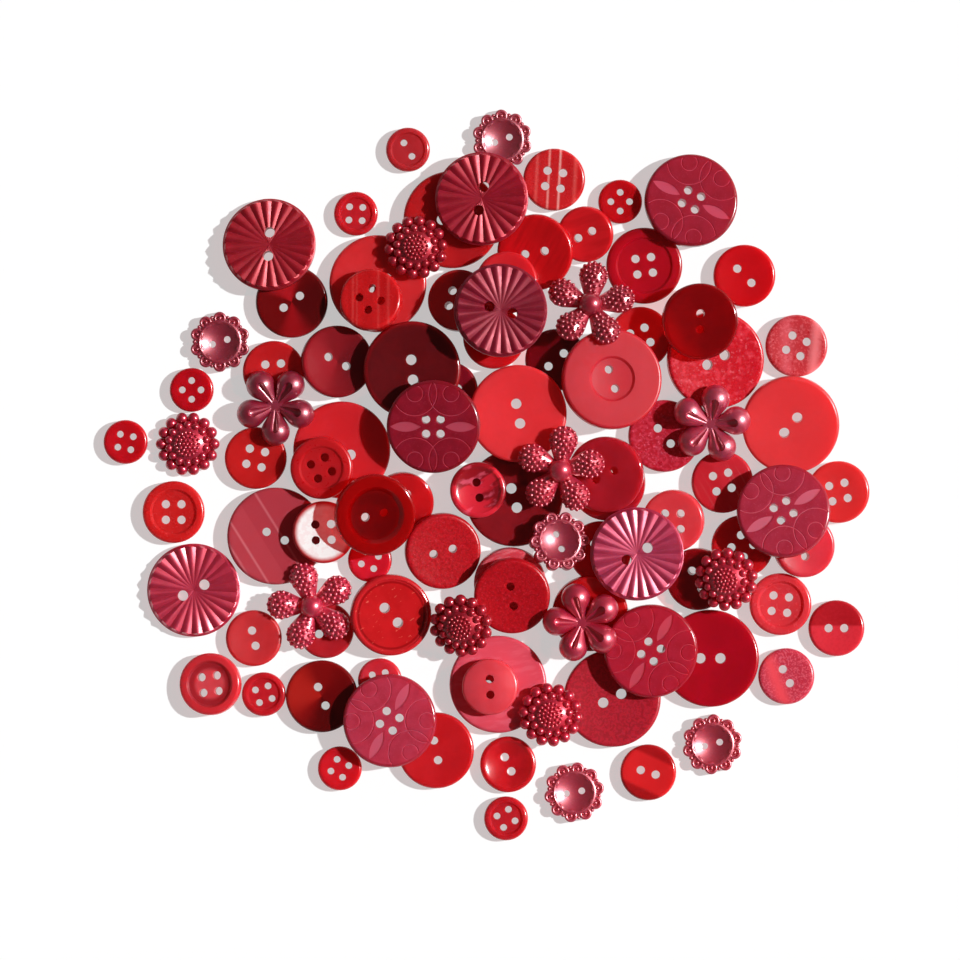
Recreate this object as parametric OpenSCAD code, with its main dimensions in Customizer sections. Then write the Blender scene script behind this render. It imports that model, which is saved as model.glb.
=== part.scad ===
// Assortment of moulded sewing buttons, lying loose in a shallow heap.
// Millimetres, +Z up. The floor is Z = 0 and the heap is centred on the origin.
// Each button is one moulded solid. A button's place and turn are given in plan, and its
// height and tilt follow from what it was laid on.

/* [Diameters] */
// Smallest plain buttons
size_18 = 11; // [10:0.25:12]
// Small two-hole buttons
size_22 = 14; // [13:0.25:15]
// Shirt-front buttons
size_24 = 15.5; // [14.5:0.25:16.5]
// Jacket buttons
size_28 = 18; // [17:0.25:19]
// Large jacket buttons
size_30 = 19; // [18:0.25:20]
// Cup and edge-ringed buttons
size_32 = 20.25; // [19.25:0.25:21]
// Fan-carved and engraved buttons
size_36 = 23.25; // [22:0.25:24]
// Coat buttons
size_38 = 24.25; // [23:0.25:25]
// Stepped coat button
size_40 = 25; // [24:0.25:26]

/* [Thickness] */
// Small buttons
thin = 2.6; // [2.2:0.1:3]
// Medium buttons
middling = 3; // [2.6:0.1:3.4]
// Coat buttons
thick = 3.4; // [3:0.1:4]
// Rounding of the upper edge
edge_top = 0.8; // [0.4:0.1:1]
// Rounding of the lower edge
edge_under = 0.6; // [0.3:0.1:0.9]

/* [Sewing holes] */
// Hole in the smallest buttons
hole_small = 1.7; // [1.2:0.1:2]
// Hole in most buttons
hole_mid = 2.1; // [1.6:0.1:2.5]
// Hole in coat buttons
hole_big = 2.6; // [2:0.1:3]
// Spacing of the holes in small buttons
pitch_small = 3.3; // [2.8:0.1:3.6]
// Spacing of the holes in medium buttons
pitch_mid = 3.9; // [3.2:0.1:4.4]
// Spacing of the holes in large buttons
pitch_big = 5; // [4.2:0.1:6]

/* [Fan-carved buttons] */
// Number of ribs
fan_ribs = 24; // [18:1:28]
// Height of the middle, where the ribs meet
fan_middle = 2.1; // [1.8:0.1:2.4]
// Depth of the valleys at the rim
fan_valley = 0.7; // [0.5:0.05:0.9]
// Width of the rim outside the ribs
fan_rim = 0.4; // [0.3:0.05:0.6]
// Height of that rim
fan_rim_h = 1.9; // [1.6:0.1:2.1]
// Spacing of the two sewing holes
fan_pitch = 6; // [5:0.25:7]

/* [Engraved buttons] */
// Radius of the small rings
ring_r = 2; // [1.5:0.1:2.4]
// Radius of the arcs around them
arc_r = 5.5; // [5:0.1:6]
// Distance of the ring pairs from the long axis
ring_out = 8.25; // [7.5:0.25:8.5]
// Distance of the rings from the short axis
ring_apart = 4.5; // [4:0.25:5]
// Spacing of the four sewing holes
engraved_pitch = 3.6; // [3.2:0.1:4]
// Width of an engraved line
line_w = 0.4; // [0.3:0.05:0.6]
// Depth of an engraved line
line_deep = 0.2; // [0.15:0.05:0.3]
// Length of a leaf recess
leaf_long = 7.7; // [6.5:0.1:8]
// Width of a leaf recess
leaf_wide = 2.5; // [2:0.1:3]
// Distance of a leaf's middle from the button's middle
leaf_out = 6.85; // [6.5:0.05:7.1]

/* [Flower buttons] */
// Petals on each flower
petals = 5; // [4:1:6]
// Reach of a beaded flower
beaded_reach = 11.4; // [11:0.1:12]
// Radius of a beaded petal
beaded_petal_r = 3.8; // [3.6:0.1:4]
// Crown height of a beaded petal
beaded_crown = 2.6; // [2.4:0.1:2.8]
// Radius of a beaded petal's root
beaded_root_r = 1.6; // [1.4:0.1:1.8]
// Radius of the beads
bead_r = 0.5; // [0.4:0.02:0.5]
// Clear edge round the beads' outer row
bead_margin = 0.6; // [0.5:0.02:0.7]
// Radius of the smooth boss
boss_r = 2.9; // [2.7:0.1:3]
// Height of the boss's middle over the underside
boss_lift = 1; // [0.8:0.1:1.2]
// Reach of a smooth-petalled flower
petal_reach = 10; // [9.5:0.25:10.5]
// Widest radius of a smooth petal
petal_r = 3.6; // [3.4:0.1:3.7]
// Height of a smooth petal's axis
petal_axis = 0.3; // [0.2:0.1:0.5]
// Radius of a smooth petal's root
root_r = 0.8; // [0.7:0.05:0.9]
// Radius of the hub that joins the smooth petals
hub_r = 2; // [1.8:0.1:2.2]
// Height of that hub
hub_h = 1.3; // [1.2:0.1:1.5]
// Radius of the hollow in a smooth petal
hollow_r = 1.1; // [0.9:0.05:1.2]
// Reach of that hollow
hollow_reach = 7.4; // [7:0.1:7.8]
// Rise of the hollow towards the tip, in degrees
hollow_rise = 22; // [20:1:24]
// Height at which the hollow's axis meets the middle
hollow_base = 1.1; // [1:0.1:1.3]

/* [Berry buttons] */
// Berries in each ring
berry_count = 14; // [13:1:15]
// Radius of an outer berry
berry_r = 1.45; // [1.3:0.05:1.5]
// Distance of the outer berries from the middle
berry_out = 6.55; // [6.4:0.05:6.9]
// Radius of an inner berry
inner_r = 1; // [0.85:0.05:1]
// Distance of the inner berries from the middle
inner_out = 4.7; // [4.4:0.05:4.75]
// Radius of the dome that carries the berries
dome_r = 6.85; // [6.7:0.05:7.2]
// Height of that dome
dome_h = 4.5; // [4:0.1:5]
// Radius of the fine grains in the middle
grain_r = 0.45; // [0.35:0.05:0.45]
// Spacing of the rounds of grains
grain_pitch = 0.95; // [0.93:0.01:1]

/* [Lace buttons] */
// Scallops round the edge
scallops = 10; // [9:1:10]
// Distance of the scallops from the middle
scallop_out = 5.9; // [5.8:0.05:6.1]
// Radius of a scallop's loop
loop_r = 1.2; // [1.1:0.05:1.25]
// Radius of the loop's cord
cord_r = 0.42; // [0.35:0.01:0.45]
// Height of the bed under the loops
bed_h = 2.1; // [2:0.05:2.3]
// Radius of the dished middle
dish_r = 5.8; // [5.6:0.05:5.9]
// Depth of the dish
dish_deep = 1.7; // [1.5:0.05:1.8]

/* [Laying] */
// Play between a button and what it lies on
play = 0.05; // [0.03:0.01:0.2]

/* [Hidden] */
$fn = 72;
// Length that a cutter runs past the surface it opens
past = 1;
// Steps round each foot where contact is tried
edge_steps = 36;
// Steps in a rounded edge and in a crowned face
round_steps = 4;
crown_steps = 5;
// Rounds of beads or grains about the middle one
grain_rows = 3;
// Height at which the shallow cutters start above a face
lift = 0.02;
// Height within which a button counts as resting on a point, and the most points tried
rests_by = 0.0005;
most_tries = 40;
// Smallest share of a corner that counts, and the ratio of one that doesn't
least_share = 0.000001;
never = 1000000;

bright = "#D8262B";
deep = "#B4121A";
crimson = "#A3182A";
dark = "#5E0F16";
coral = "#D9404A";
maroon = "#8E1A33";
garnet = "#7C0A10";
pearl = "#C0283C";
white = "#F2E6E4";

// Overall widths of the berry and lace buttons
berry_wide = 2 * (berry_out + berry_r);
lace_wide = 2 * (scallop_out + loop_r + cord_r);

// Like buttons share a node.
// node, form, colour, diameter, thickness, rim width, rim drop, crown, holes, hole, spacing
GROUPS = [
    ["small_two_hole_button", "plain", bright, size_18, thin, 1.2, 0.4, 0, 2, hole_small, pitch_mid],
    ["small_four_hole_buttons", "plain", bright, size_18, thin, 0, 0, -0.3, 4, hole_small, pitch_small],
    ["small_rimmed_buttons", "plain", bright, size_18, thin, 1.3, 0.5, 0, 4, hole_small, pitch_small],
    ["two_hole_buttons_14", "plain", bright, size_22, thin, 0, 0, -0.4, 2, hole_mid, pitch_mid],
    ["marble_button", "plain", deep, size_22, thin, 1.2, 0.4, -0.9, 2, hole_mid, pitch_mid],
    ["coral_dome_button", "plain", coral, size_22, middling, 0, 0, 0.8, 2, hole_mid, pitch_mid],
    ["pearl_button_14", "plain", pearl, size_22, thin, 0, 0, -0.3, 2, hole_mid, pitch_mid],
    ["glossy_dish_button", "plain", bright, size_22, thin, 1, 0.3, -1.2, 2, hole_mid, pitch_mid],
    ["striped_buttons", "plain", bright, size_24, middling, 0, 0, -0.3, 4, hole_mid, pitch_mid],
    ["two_hole_buttons_16", "plain", bright, size_24, middling, 0, 0, -0.5, 2, hole_mid, pitch_big],
    ["pearl_four_hole_button", "plain", pearl, size_24, middling, 0, 0, -0.4, 4, hole_mid, pitch_mid],
    ["four_hole_buttons_16", "plain", bright, size_24, middling, 0, 0, -0.4, 4, hole_mid, pitch_mid],
    ["coral_four_hole_button", "plain", coral, size_24, middling, 0, 0, -0.2, 4, hole_mid, pitch_mid],
    ["raised_rim_button", "plain", bright, size_24, middling, 2.2, 0.5, -0.2, 4, hole_mid, pitch_mid],
    ["white_face_button", "plain", white, size_24, middling, 0, 0, -0.3, 4, hole_mid, pitch_mid],
    ["rimmed_buttons_16", "plain", bright, size_24, middling, 1.9, 0.6, -0.3, 4, hole_mid, pitch_mid],
    ["translucent_buttons_16", "plain", garnet, size_24, middling, 0, 0, -0.3, 2, hole_mid, pitch_big],
    ["two_hole_buttons_19", "plain", deep, size_30, middling, 0, 0, -0.5, 2, hole_mid, pitch_big],
    ["dark_red_buttons_19", "plain", garnet, size_28, middling, 0, 0, -0.5, 2, hole_mid, pitch_big],
    ["ring_button_19", "plain", crimson, size_30, middling, 2.4, 0.5, -0.2, 4, hole_mid, pitch_mid],
    ["garnet_button", "plain", garnet, size_30, middling, 0, 0, -0.4, 2, hole_mid, pitch_mid],
    ["pearl_buttons_18", "plain", pearl, size_28, middling, 0, 0, -0.4, 2, hole_mid, pitch_big],
    ["clear_buttons_19", "plain", deep, size_30, middling, 0, 0, -0.3, 2, hole_mid, pitch_big],
    ["speckled_buttons", "plain", deep, size_30, middling, 0, 0, -0.4, 2, hole_mid, pitch_big],
    ["edge_ring_button", "plain", bright, size_32, thick, 1, 0.3, -0.3, 2, hole_big, pitch_big],
    ["clear_cup_button", "plain", garnet, size_32, thick, 3, 1, -0.4, 2, hole_mid, pitch_big],
    ["large_red_buttons", "plain", bright, size_38, thick, 0, 0, -0.5, 2, hole_big, pitch_big],
    ["large_clear_button", "plain", coral, size_38, thick, 0, 0, -0.3, 2, hole_mid, pitch_big],
    ["large_dark_buttons", "plain", dark, size_38, thick, 0, 0, -0.4, 2, hole_big, pitch_big],
    ["large_bright_buttons", "plain", bright, size_38, thick, 0, 0, -0.4, 2, hole_big, pitch_big],
    ["stepped_coral_button", "plain", coral, size_40, thick, 6.8, 0.6, -0.2, 2, hole_mid, pitch_big],
    ["large_pearl_buttons", "plain", pearl, size_38, thick, 0, 0, -0.5, 2, hole_big, pitch_big],
    ["large_coral_button", "plain", coral, size_38, thick, 0, 0, -0.2, 2, hole_mid, pitch_big],
    for (k = [1 : 5]) [str("fan_button_", k), "fan", maroon, size_36, middling],
    for (k = [1 : 5]) [str("engraved_button_", k), "engraved", maroon, size_36, middling],
    for (k = [1 : 3]) [str("beaded_flower_", k), "beaded", crimson, 2 * beaded_reach, middling],
    for (k = [1 : 3]) [str("petal_flower_", k), "petal", maroon, 2 * petal_reach, thick],
    for (k = [1 : 5]) [str("berry_button_", k), "berry", crimson, berry_wide, middling],
    for (k = [1 : 5]) [str("lace_button_", k), "lace", crimson, lace_wide, thin],
];

// The buttons in the order they were laid: node, x, y, turn.
HEAP = [
    // On the floor
    ["small_two_hole_button", -18, 82.5, -59],
    ["small_four_hole_buttons", 35, 69.5, 45],
    ["small_four_hole_buttons", -72, 22.5, 45],
    ["small_four_hole_buttons", -88.5, 9.5, -11],
    ["small_four_hole_buttons", -27.5, -20, -21],
    ["small_four_hole_buttons", -35, -72, -28],
    ["small_four_hole_buttons", -25, -50, 10],
    ["small_rimmed_buttons", -31, 66.5, -3],
    ["small_rimmed_buttons", -54, -53.5, 18],
    ["small_rimmed_buttons", 6.5, -84.5, 30],
    ["two_hole_buttons_14", 26.5, 61.5, 27],
    ["two_hole_buttons_14", -56.5, -39.5, -77],
    ["two_hole_buttons_14", 89, -37, 0],
    ["two_hole_buttons_14", 42, -73, -17],
    ["two_hole_buttons_14", -38.5, -37.5, 30],
    ["two_hole_buttons_14", -7.5, 22.5, 10],
    ["pearl_button_14", 76.5, -49, -63],
    ["glossy_dish_button", 7, -71, -65],
    ["four_hole_buttons_16", 89.5, -3, 12],
    ["four_hole_buttons_16", 60.5, -0.5, 13],
    ["four_hole_buttons_16", 65.5, -16.5, -38],
    ["four_hole_buttons_16", 40, 35.5, 22],
    ["four_hole_buttons_16", -56, 5.5, -13],
    ["four_hole_buttons_16", -51.5, 27, 4],
    ["rimmed_buttons_16", -67, -51, 7],
    ["rimmed_buttons_16", 75, -31, -7],
    ["rimmed_buttons_16", -76.5, -8, 0],
    ["striped_buttons", 18.5, 75, -9],
    ["two_hole_buttons_16", 66, 51, -45],
    ["two_hole_buttons_16", 80.5, -16.5, -88],
    ["two_hole_buttons_16", 30, -18, 125],
    ["two_hole_buttons_16", 3.5, 35.5, 20],
    ["pearl_four_hole_button", 79, 33.5, -24],
    ["coral_four_hole_button", 48.5, -10, 0],
    ["large_red_buttons", -25.5, 49, 30],
    ["large_red_buttons", -7, 65, 0],
    ["large_red_buttons", -34.5, 7.5, -29],
    ["large_clear_button", -51, -14, -25],
    ["large_dark_buttons", 8.5, -4.5, -74],
    ["large_dark_buttons", 57.5, -44.5, 0],
    ["large_pearl_buttons", 58.5, 30, 29],
    ["large_pearl_buttons", 33, -54.5, 26],
    ["large_bright_buttons", 77.5, 14, 50],
    ["large_coral_button", 4.5, -51, 0],
    ["dark_red_buttons_19", -47, 44.5, 36],
    ["dark_red_buttons_19", -36, 29.5, -27],
    ["dark_red_buttons_19", -39.5, -54, -68],
    ["two_hole_buttons_19", -11, -67.5, -78],
    ["edge_ring_button", -22.5, -33.5, -48],
    ["pearl_buttons_18", 46, 11, 130],
    ["pearl_buttons_18", 7.5, -25.5, 60],
    ["ring_button_19", 41, 53.5, 7],
    ["fan_button_4", -71.5, -27.5, 27],
    ["berry_button_2", -73, 9, 0],
    ["lace_button_1", 5.5, 85, 20],
    ["lace_button_2", -65, 34.5, 18],
    ["lace_button_4", 23.5, -78, 10],
    ["lace_button_5", 58, -66, 15],
    // Leaning on those
    ["two_hole_buttons_19", 14, 57, 10],
    ["four_hole_buttons_16", -5, 44.5, -13],
    ["two_hole_buttons_16", 6.5, 49, 63],
    ["translucent_buttons_16", 19, 30, 40],
    ["translucent_buttons_16", -19.5, -5.5, 70],
    ["translucent_buttons_16", 54.5, -24.5, 118],
    ["large_dark_buttons", -17, 27.5, -85],
    ["clear_buttons_19", 32, -0.5, 80],
    ["clear_buttons_19", 31.5, 1.5, 27],
    ["speckled_buttons", -9.5, -17.5, 15],
    ["speckled_buttons", 8, -28.5, -81],
    ["two_hole_buttons_19", 27.5, -33, 40],
    ["white_face_button", -39, -13, 2],
    ["raised_rim_button", -39.5, 3, 27],
    ["clear_cup_button", -26.5, -8.5, 12],
    ["large_bright_buttons", 9.5, 16.5, -79],
    ["marble_button", -0.5, -2.5, -79],
    ["stepped_coral_button", 32.5, 25, -72],
    ["garnet_button", 54.5, 39.5, 90],
    ["coral_dome_button", 2.5, -51.5, -88],
    ["striped_buttons", -27, 44.5, 35],
    // On top
    ["engraved_button_1", 52.5, 69.5, -26],
    ["engraved_button_2", -11.5, 13.5, 0],
    ["engraved_button_3", 75.5, -8, 30],
    ["engraved_button_4", 42.5, -42.5, 60],
    ["engraved_button_5", -22.5, -60, 62],
    ["fan_button_1", 0.5, 70, 78],
    ["fan_button_2", 5, 42, -16],
    ["fan_button_3", 39, -18.5, 30],
    ["fan_button_5", -52.5, 58.5, 87],
    ["berry_button_1", -16, 58, 5],
    ["berry_button_3", -4.5, -36, 12],
    ["berry_button_4", 17.5, -58.5, 20],
    ["berry_button_5", 61.5, -24.5, 9],
    ["lace_button_3", 19.5, -15.5, -70],
    ["beaded_flower_1", 27.5, 43.5, 84],
    ["beaded_flower_2", 20, 2.5, 84],
    ["beaded_flower_3", -42, -31.5, 105],
    ["petal_flower_1", -51, 18.5, -90],
    ["petal_flower_2", 57.5, 14, 8],
    ["petal_flower_3", 25.5, -35.5, 33],
];

// Lookups
function group(name) = [for (g = GROUPS) if (g[0] == name) g][0];
function ring(x, y, r, steps) = [
    for (k = [0 : steps - 1]) [x + r * cos(k * 360 / steps), y + r * sin(k * 360 / steps)],
];
function plan(q) = [q[0], q[1]];

// Feet: the round areas on which a button stands, as [x, y, radius].
beaded_out = beaded_reach - beaded_petal_r;
petal_out = petal_reach - petal_r;
function flower_feet(x, y, turn, out, r) = [for (q = ring(0, 0, out, petals))
    [x + q[0] * cos(turn) - q[1] * sin(turn), y + q[0] * sin(turn) + q[1] * cos(turn), r]];
function feet(form, d, x, y, turn) =
    form == "beaded" ? flower_feet(x, y, turn, beaded_out, beaded_petal_r)
    : form == "petal" ? flower_feet(x, y, turn, petal_out, petal_r)
    : [[x, y, d / 2]];

// A plane is [height at the origin, slope in x, slope in y].
function level(p, q) = p[0] + p[1] * q[0] + p[2] * q[1];
function plane_through(a, b, c) =
    let (n = cross(b - a, c - a))
    [a[2] + (n[0] * a[0] + n[1] * a[1]) / n[2], -n[0] / n[2], -n[1] / n[2]];
function upright(p) = [-p[1], -p[2], 1] / norm([p[1], p[2], 1]);

// Shares of three corners that give the point q in plan
function twice_area(a, b, c) = (b[0] - a[0]) * (c[1] - a[1]) - (b[1] - a[1]) * (c[0] - a[0]);
function shares(t, q) =
    let (whole = twice_area(t[0], t[1], t[2]))
    [twice_area(q, t[1], t[2]), twice_area(t[0], q, t[2]), twice_area(t[0], t[1], q)] / whole;

// Lowest plane that clears every point and holds the middle up: while a point stands above the
// three it rests on, that point takes the place of the one that keeps the middle between them.
function settled(seat, points, middle, tries) =
    let (p = plane_through(seat[0], seat[1], seat[2]))
    let (over = [for (q = points) q[2] - level(p, q)])
    let (most = max(over))
    most < rests_by || tries == 0 ? p :
    let (q = points[search(most, over)[0]])
    let (held = shares(seat, middle))
    let (moved = shares(seat, q))
    let (ratio = [for (k = [0 : 2]) moved[k] > least_share ? held[k] / moved[k] : never])
    let (least = min(ratio))
    let (out = ratio[0] == least ? 0 : ratio[1] == least ? 1 : 2)
    settled([for (k = [0 : 2]) k == out ? q : seat[k]], points, middle, tries - 1);

// Points that the underside has to clear, from the floor and the upper faces of the buttons near it.
// An upper face is [x, y, radius, plane, points of its edge].
function contacts(under, tops) = [
    for (f = under) for (q = ring(f[0], f[1], f[2], edge_steps))
        [q[0], q[1], max(concat(0, [for (t = tops) if (norm(q - plan(t)) < t[2]) level(t[3], q) + play]))],
    for (f = under) for (t = tops) if (norm(plan(t) - plan(f)) < t[2] + f[2])
        for (q = concat(t[4], facing(f, t))) if (norm(plan(q) - plan(f)) <= f[2]) [q[0], q[1], q[2] + play],
];
// The two points of an overlap that lie deepest under the other outline
function facing(f, t) =
    let (away = plan(t) - plan(f))
    let (way = norm(away) > 0 ? away / norm(away) : [1, 0])
    let (q = plan(t) - way * min(t[2], norm(away) + f[2]))
    let (s = plan(f) + way * f[2])
    [[q[0], q[1], level(t[3], q)], if (norm(s - plan(t)) < t[2]) [s[0], s[1], level(t[3], s)]];

// Upper faces of a button that stands on the plane p
function top_of(f, p, t) =
    let (n = upright(p))
    let (u = [1, 0, p[1]] / norm([1, 0, p[1]]))
    let (v = cross(n, u))
    let (c = [f[0], f[1], level(p, f)] + t * n)
    let (edge = [for (q = ring(0, 0, f[2], edge_steps)) c + q[0] * u + q[1] * v])
    [c[0], c[1], f[2], [p[0] + t / n[2], p[1], p[2]], edge];

// One laid button: [node, x, y, turn, plane, reach, upper faces]
function laid(row, done) =
    let (g = group(row[0]))
    let (x = row[1])
    let (y = row[2])
    let (reach = g[3] / 2)
    let (under = feet(g[1], g[3], x, y, row[3]))
    let (tops = [for (b = done) if (norm([b[1] - x, b[2] - y]) < b[5] + reach + g[4]) for (t = b[6]) t])
    let (start = [for (q = ring(x, y, reach, 3)) [q[0], q[1], 0]])
    let (p = settled(start, contacts(under, tops), [x, y], most_tries))
    [row[0], x, y, row[3], p, reach, [for (f = under) top_of(f, p, g[4])]];
function lay(done) = len(done) == len(HEAP) ? done : lay(concat(done, [laid(HEAP[len(done)], done)]));
LAID = lay([]);

// Middle of the heap in plan
middle = [
    (max([for (b = LAID) b[1] + b[5]]) + min([for (b = LAID) b[1] - b[5]])) / 2,
    (max([for (b = LAID) b[2] + b[5]]) + min([for (b = LAID) b[2] - b[5]])) / 2,
];

// Section of a turned disc: rounded edges, then an optional rim, a drop and a crowned or dished face
function arc(x, y, r, from, to, steps) = [for (k = [0 : steps])
    [x + r * cos(from + (to - from) * k / steps), y + r * sin(from + (to - from) * k / steps)]];
function disc_section(r, t, rim, drop, crown) =
    let (face_r = rim > 0 ? r - rim - drop : r - edge_top)
    concat(
        [[0, 0]],
        arc(r - edge_under, edge_under, edge_under, -90, 0, round_steps),
        arc(r - edge_top, t - edge_top, edge_top, 0, 90, round_steps),
        rim > 0 ? [[r - rim, t]] : [],
        rim > 0 ? [[face_r, t - drop]] : [],
        [for (k = [1 : crown_steps])
            let (out = 1 - k / crown_steps)
            [face_r * out, t - drop + crown * (1 - out * out)]]
    );
module disc(d, t, rim = 0, drop = 0, crown = 0) {
    rotate_extrude() polygon(disc_section(d / 2, t, rim, drop, crown));
}

module holes(count, d, pitch, t) {
    rows = count == 4 ? [-1, 1] : [0];
    for (i = [-1, 1]) for (j = rows)
        translate([i * pitch / 2, j * pitch / 2, -past]) cylinder(d = d, h = t + 2 * past);
}

// Turned or moulded disc with two or four holes
module plain_button(g) {
    difference() {
        disc(g[3], g[4], g[5], g[6], g[7]);
        holes(g[8], g[9], g[10], 2 * g[4]);
    }
}

// Disc carved as a folded fan: pleats that widen from the middle and end at a plain round rim
module fan_button(d, t) {
    rib_steps = 4;
    // 1 gives flat folds, 2 gives round ribs
    fold = 1.25;
    n = fan_ribs * rib_steps;
    bulge = [for (k = [0 : n - 1]) 1 - pow(abs(2 * (k % rib_steps) / rib_steps - 1), fold)];
    // Rings from the face down to the underside: [inset from the rim, height]
    function rings(b) = [
        [2 * fan_rim, t - fan_valley * (1 - b)],
        [fan_rim, fan_rim_h],
        [0, fan_rim_h - fan_rim / 2],
        [0, edge_under],
        [edge_under, 0],
    ];
    last = len(rings(0)) - 1;
    points = concat(
        [[0, 0, fan_middle]],
        [for (j = [0 : last]) for (k = [0 : n - 1])
            let (at = rings(bulge[k])[j])
            let (r = d / 2 - at[0])
            [r * cos(k * 360 / n), r * sin(k * 360 / n), at[1]]],
        [[0, 0, 0]]
    );
    function corner(j, k) = 1 + j * n + k % n;
    faces = concat(
        [for (k = [0 : n - 1]) [0, corner(0, k + 1), corner(0, k)]],
        [for (j = [0 : last - 1]) for (k = [0 : n - 1])
            [corner(j, k), corner(j, k + 1), corner(j + 1, k + 1), corner(j + 1, k)]],
        [for (k = [0 : n - 1]) [(last + 1) * n + 1, corner(last, k), corner(last, k + 1)]]
    );
    difference() {
        polyhedron(points, faces);
        holes(2, hole_big, fan_pitch, 2 * t);
    }
}

// Flat disc engraved with four ringed arcs and two leaves
module engraved_ring(r) {
    half = line_w / 2;
    rotate_extrude() translate([r, 0]) polygon([[-half, lift], [half, lift], [0, -line_deep]]);
}
module engraved_leaf() {
    bow = (pow(leaf_long, 2) + pow(leaf_wide, 2)) / (4 * leaf_wide);
    intersection_for(s = [-1, 1])
        translate([0, s * (bow - leaf_wide / 2), -line_deep]) cylinder(r = bow, h = past);
}
module engraved_button(d, t) {
    difference() {
        disc(d, t);
        for (i = [-1, 1]) for (j = [-1, 1]) translate([i * ring_apart, j * ring_out, t]) {
            engraved_ring(ring_r);
            engraved_ring(arc_r);
        }
        for (i = [-1, 1]) translate([i * leaf_out, 0, t]) engraved_leaf();
        holes(4, hole_mid, engraved_pitch, t);
    }
}

// Ball whose cap has the given base radius and height, and the depth of its middle
function cap_ball(r, h) = (r * r + h * h) / (2 * h);
function on_ball(ball, out) = sqrt(ball * ball - out * out);
// Rounds of small balls on a larger one: one in the middle, then 6, 12 and 18
module grains(ball, pitch, r) {
    for (row = [0 : grain_rows]) for (q = ring(0, 0, row * pitch, max(1, 6 * row)))
        translate([q[0], q[1], on_ball(ball, row * pitch)]) sphere(r = r);
}

// Petal: a drop that tapers from its round end to a root near the middle
root_at = 1;
function taper(to, r, root) = asin((r - root) / (to - r - root_at));
module drop_form(to, r, root, steps) {
    lean = taper(to, r, root);
    start = root_at - root * sin(lean);
    outline = concat([[0, start], [root * cos(lean), start]], arc(0, to - r, r, -lean, 90, steps));
    rotate([0, 90, 0]) rotate_extrude() polygon(outline);
}
// Radius of a drop at the distance s from the middle
function drop_r(to, r, root, s) =
    let (lean = taper(to, r, root))
    s > to - r - r * sin(lean) ? on_ball(r, s - to + r) : (root + (s - root_at) * sin(lean)) / cos(lean);
module above(r, h) {
    intersection() {
        children();
        cylinder(r = r, h = h);
    }
}

// Flower with hobnailed petals round a smooth boss
module beaded_button() {
    sunken = beaded_petal_r - beaded_crown;
    pitch = (beaded_petal_r - bead_margin) / grain_rows;
    near = boss_r + bead_r;
    spots = concat(
        [for (row = [0 : grain_rows]) for (q = ring(beaded_out, 0, row * pitch, max(1, 5 * row))) q],
        [for (j = [-1, 1]) [near, j * pitch / 2]]
    );
    union() {
        translate([0, 0, boss_lift]) above(2 * boss_r, 2 * boss_r) sphere(r = boss_r);
        cylinder(r = boss_r, h = boss_lift);
        for (k = [0 : petals - 1]) rotate(k * 360 / petals) {
            above(beaded_reach + past, beaded_crown + past)
                translate([0, 0, -sunken])
                    drop_form(beaded_reach, beaded_petal_r, beaded_root_r, round_steps);
            for (q = spots) {
                r = drop_r(beaded_reach, beaded_petal_r, beaded_root_r, q[0]);
                translate([q[0], q[1], on_ball(r, q[1]) - sunken]) sphere(r = bead_r);
            }
        }
    }
}

// Flower with smooth, puffed petals, each with a drop-shaped hollow
module petal_button() {
    difference() {
        above(petal_reach + past, petal_axis + petal_r + past) {
            union() {
                cylinder(r = hub_r, h = hub_h);
                for (k = [0 : petals - 1]) rotate(k * 360 / petals)
                    translate([0, 0, petal_axis]) drop_form(petal_reach, petal_r, root_r, 2 * round_steps);
            }
        }
        for (k = [0 : petals - 1]) rotate(k * 360 / petals) translate([0, 0, hollow_base])
            rotate([0, -hollow_rise, 0]) drop_form(hollow_reach, hollow_r, hollow_r / 4, round_steps);
    }
}

// Dome of berries round a finely grained middle
module berry_button() {
    ball = cap_ball(dome_r, dome_h);
    union() {
        translate([0, 0, dome_h - ball]) {
            intersection() {
                sphere(r = ball);
                translate([0, 0, ball - dome_h]) cylinder(r = ball + past, h = dome_h + past);
            }
            rotate(180 / berry_count) for (q = ring(0, 0, inner_out, berry_count))
                translate([q[0], q[1], on_ball(ball, inner_out)]) sphere(r = inner_r);
            grains(ball, grain_pitch, grain_r);
        }
        for (q = ring(0, 0, berry_out, berry_count))
            translate([q[0], q[1], berry_r + play]) sphere(r = berry_r);
    }
}

// Dished disc in a scalloped border: each scallop is a loop of cord round a bead
module scallop() {
    cord_steps = 6;
    cord = arc(loop_r, bed_h, cord_r, 0, 180, cord_steps);
    bead = arc(0, bed_h, bead_r, 0, 90, round_steps);
    rotate_extrude() polygon(concat([[0, 0], [loop_r + cord_r, 0]], cord, bead));
}
module lace_button(t) {
    difference() {
        union() {
            disc(2 * dish_r, t, crown = -dish_deep);
            for (k = [0 : scallops - 1]) rotate(k * 360 / scallops) translate([scallop_out, 0, 0]) scallop();
            for (k = [0 : scallops - 1]) rotate((k + 0.5) * 360 / scallops)
                translate([scallop_out + cord_r, 0, bed_h - bead_r / 2]) sphere(r = bead_r);
        }
        holes(2, hole_small, pitch_mid, t);
    }
}

// One button in its own frame, standing on Z = 0
module button(g) {
    if (g[1] == "plain") plain_button(g);
    else if (g[1] == "fan") fan_button(g[3], g[4]);
    else if (g[1] == "engraved") engraved_button(g[3], g[4]);
    else if (g[1] == "beaded") beaded_button();
    else if (g[1] == "petal") petal_button();
    else if (g[1] == "berry") berry_button();
    else lace_button(g[4]);
}

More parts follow.
